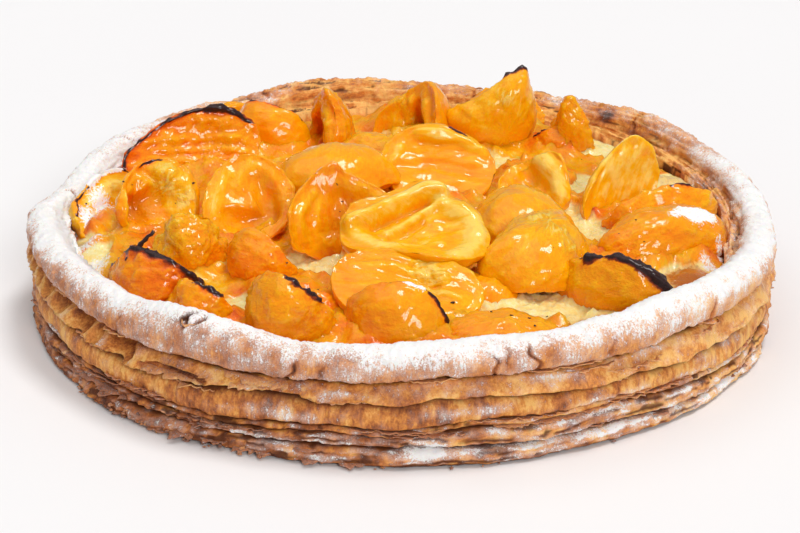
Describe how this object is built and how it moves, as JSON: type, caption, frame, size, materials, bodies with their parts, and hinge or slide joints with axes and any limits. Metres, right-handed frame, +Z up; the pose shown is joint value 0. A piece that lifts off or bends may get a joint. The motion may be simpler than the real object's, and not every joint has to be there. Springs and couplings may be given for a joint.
{
  "type": "apricot tart",
  "caption": "Open round apricot tart: a deep layered puff pastry crust with a rolled rim, filled with baked custard and topped with halved apricots.",
  "frame": {"origin": "centre of the flat base, where the tart rests", "axes": "+Z up, -Y towards the front that the picture shows, +X to its right"},
  "size_m": [0.2697, 0.2692, 0.0633],
  "materials": {
    "baked_pastry": "matte, dusted with icing sugar",
    "custard": "satin",
    "apricot_flesh": "glossy"
  },
  "bodies": {
    "root": {"crust": "baked_pastry", "custard": "custard", "apricot_01": "apricot_flesh", "apricot_02": "apricot_flesh", "apricot_03": "apricot_flesh", "apricot_04": "apricot_flesh", "apricot_05": "apricot_flesh", "apricot_06": "apricot_flesh", "apricot_07": "apricot_flesh", "apricot_08": "apricot_flesh", "apricot_09": "apricot_flesh", "apricot_10": "apricot_flesh", "apricot_11": "apricot_flesh", "apricot_12": "apricot_flesh", "apricot_13": "apricot_flesh", "apricot_14": "apricot_flesh", "apricot_15": "apricot_flesh", "apricot_16": "apricot_flesh", "apricot_17": "apricot_flesh", "apricot_18": "apricot_flesh", "apricot_19": "apricot_flesh", "apricot_20": "apricot_flesh", "apricot_21": "apricot_flesh", "apricot_22": "apricot_flesh", "apricot_23": "apricot_flesh", "apricot_24": "apricot_flesh", "apricot_25": "apricot_flesh", "apricot_26": "apricot_flesh", "apricot_27": "apricot_flesh", "apricot_28": "apricot_flesh", "apricot_29": "apricot_flesh", "apricot_30": "apricot_flesh", "apricot_31": "apricot_flesh", "apricot_32": "apricot_flesh", "apricot_33": "apricot_flesh", "apricot_34": "apricot_flesh", "apricot_35": "apricot_flesh", "apricot_36": "apricot_flesh", "apricot_37": "apricot_flesh", "apricot_38": "apricot_flesh", "apricot_39": "apricot_flesh", "apricot_40": "apricot_flesh", "apricot_41": "apricot_flesh"}
  },
  "joints": []
}
